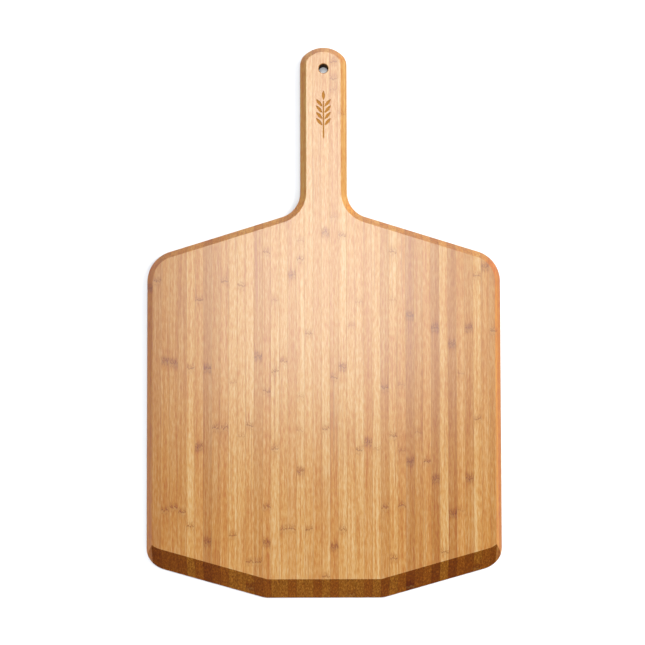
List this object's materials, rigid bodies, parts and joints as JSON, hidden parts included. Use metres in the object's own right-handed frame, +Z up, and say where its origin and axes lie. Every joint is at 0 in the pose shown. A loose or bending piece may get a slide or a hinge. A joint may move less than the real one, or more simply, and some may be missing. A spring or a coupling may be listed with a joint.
{
  "type": "pizza peel",
  "caption": "Flat wooden peel of edge-glued bamboo strips: broad blade with angled shoulders, bevelled front edge, straight handle with a round hanging hole.",
  "frame": {"origin": "middle of the board's bounding box, on the flat underside", "axes": "+Y along the board from the front edge to the handle end, +Z up out of the bevelled upper face, +X to the right of someone looking down with the handle pointing away"},
  "size_m": [0.34, 0.531, 0.012],
  "materials": {
    "bamboo_pale": "satin oiled, pale",
    "bamboo_honey": "satin oiled, honey",
    "bamboo_warm": "satin oiled, warm",
    "bamboo_toasted": "satin oiled, toasted"
  },
  "bodies": {
    "root": {"left_edge_strip": "bamboo_toasted", "blade_strip_02": "bamboo_toasted", "blade_strip_03": "bamboo_warm", "blade_strip_04": "bamboo_warm", "blade_strip_05": "bamboo_warm", "blade_strip_06": "bamboo_pale", "blade_strip_07": "bamboo_honey", "blade_strip_08": "bamboo_toasted", "blade_strip_09": "bamboo_warm", "blade_strip_10": "bamboo_honey", "blade_strip_11": "bamboo_pale", "blade_strip_12": "bamboo_pale", "blade_strip_13": "bamboo_pale", "blade_strip_14": "bamboo_warm", "blade_strip_15": "bamboo_honey", "blade_strip_16": "bamboo_pale", "blade_strip_17": "bamboo_pale", "blade_strip_18": "bamboo_honey", "handle_strip_19": "bamboo_pale", "handle_strip_20": "bamboo_pale", "handle_strip_21": "bamboo_honey", "handle_strip_22": "bamboo_pale", "handle_strip_23": "bamboo_honey", "handle_strip_24": "bamboo_pale", "handle_strip_25": "bamboo_pale", "blade_strip_26": "bamboo_pale", "blade_strip_27": "bamboo_honey", "blade_strip_28": "bamboo_pale", "blade_strip_29": "bamboo_warm", "blade_strip_30": "bamboo_pale", "blade_strip_31": "bamboo_honey", "blade_strip_32": "bamboo_toasted", "blade_strip_33": "bamboo_warm", "blade_strip_34": "bamboo_honey", "blade_strip_35": "bamboo_toasted", "blade_strip_36": "bamboo_pale", "blade_strip_37": "bamboo_toasted", "blade_strip_38": "bamboo_honey", "blade_strip_39": "bamboo_warm", "blade_strip_40": "bamboo_pale", "blade_strip_41": "bamboo_honey", "blade_strip_42": "bamboo_warm", "right_edge_strip": "bamboo_toasted"}
  },
  "joints": []
}
